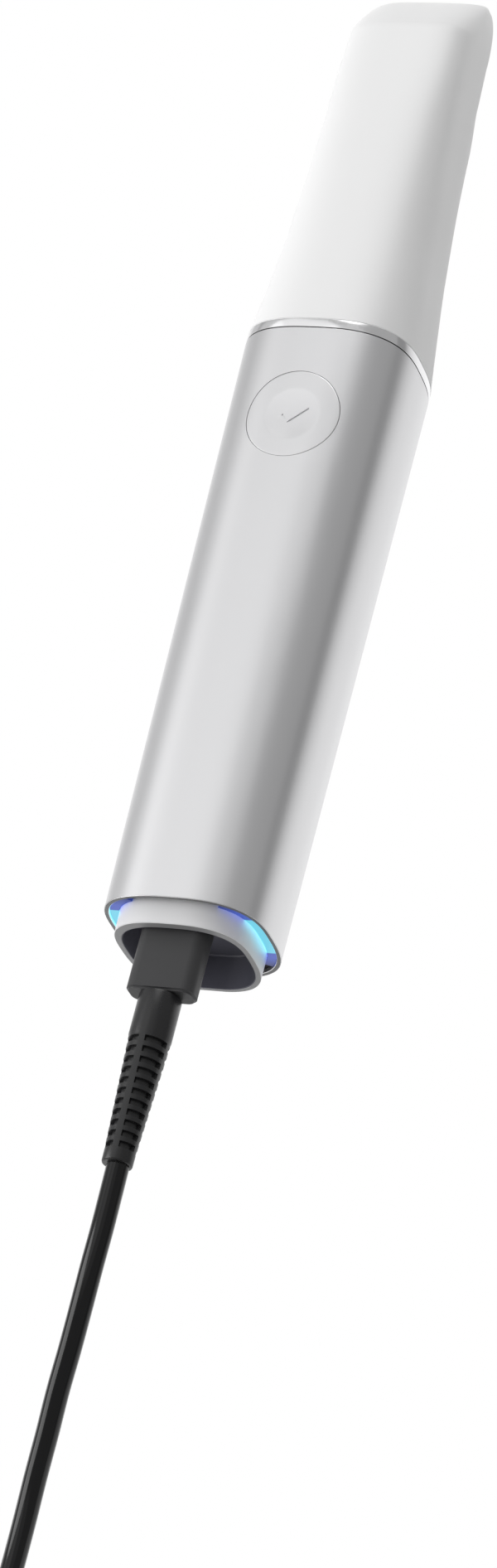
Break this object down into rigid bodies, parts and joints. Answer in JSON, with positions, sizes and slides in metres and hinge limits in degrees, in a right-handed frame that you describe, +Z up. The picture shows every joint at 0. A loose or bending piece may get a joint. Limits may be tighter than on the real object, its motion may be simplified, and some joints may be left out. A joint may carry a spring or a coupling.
{
  "type": "intraoral scanner handpiece",
  "caption": "Tapered metal dental scanner with a pull-off white mirror tip, a scan window, a touch disc, light strips and a plug-in coiled cable.",
  "frame": {"origin": "on the surface it rests on, under the middle of the handpiece's bounding box, cable left out", "axes": "+Z up through the button disc, +Y along the handpiece towards the scanning tip, +X across it"},
  "size_m": [0.0589, 0.4373, 0.036],
  "materials": {
    "satin_metal": "satin, fine bead-blasted",
    "button_metal": "satin, shallow dish with a thin tick groove",
    "collar_chrome": "polished",
    "tip_white": "fine matte, autoclavable",
    "ring_white": "satin",
    "recess_slate": "fine satin",
    "black_polymer": "fine matte",
    "liner_dark": "matte",
    "tip_mirror": "front-surface mirror",
    "nose_glass": "clear, coated",
    "light_strip": "frosted, lit cyan to blue",
    "board_green": "solder resist",
    "barrel_black": "black anodised",
    "chassis_metal": "as cast",
    "bare_aluminium": "milled",
    "steel": "fine satin",
    "silicone": "matte",
    "plug_black": "fine matte moulding",
    "boot_black": "satin",
    "cable_black": "glossy jacket",
    "tie_fabric": "woven hook-and-loop"
  },
  "bodies": {
    "handpiece": {"body_shell": "satin_metal", "collar_ring": "collar_chrome", "front_bulkhead": "black_polymer", "optical_snout": "black_polymer", "nose_glass": "nose_glass", "tip_seal": "silicone", "imaging_lens_barrel": "barrel_black", "image_sensor_board": "board_green", "projector_lens_barrel": "barrel_black", "projector_light_box": "chassis_metal", "inner_chassis": "chassis_metal", "main_board": "board_green", "board_screw_1": "steel", "board_screw_2": "steel", "board_screw_3": "steel", "board_screw_4": "steel", "heat_spreader": "bare_aluminium", "vibration_motor": "steel", "switch_board": "board_green", "tact_switch": "steel", "silicone_return_ring": "silicone", "end_ring": "ring_white", "recess_cup": "recess_slate", "socket_board": "board_green", "cable_socket": "steel", "light_strip_left": "light_strip", "light_strip_right": "light_strip", "light_board": "board_green"},
    "button": {"button_cap": "button_metal"},
    "tip": {"tip_sleeve": "tip_white", "mirror_carrier": "liner_dark", "tip_mirror": "tip_mirror"},
    "cable": {"plug_body": "plug_black", "plug_tongue": "steel", "plug_boot": "boot_black", "cable": "cable_black", "cable_coil": "cable_black", "cable_tail": "cable_black", "coil_tie": "tie_fabric", "far_plug_body": "plug_black", "far_plug_tongue": "steel", "far_plug_boot": "boot_black"}
  },
  "joints": [
    {"name": "button_press", "type": "slide", "parent": "handpiece", "child": "button", "axis": [0, 0, -1], "range_m": [0, 0.0006], "stiffness_N_per_m": 2000},
    {"name": "tip_pull", "type": "slide", "parent": "handpiece", "child": "tip", "axis": [0, 1, 0], "range_m": [0, 0.062]},
    {"name": "cable_unplug", "type": "slide", "parent": "handpiece", "child": "cable", "axis": [0, -1, 0], "range_m": [0, 0.02]}
  ]
}
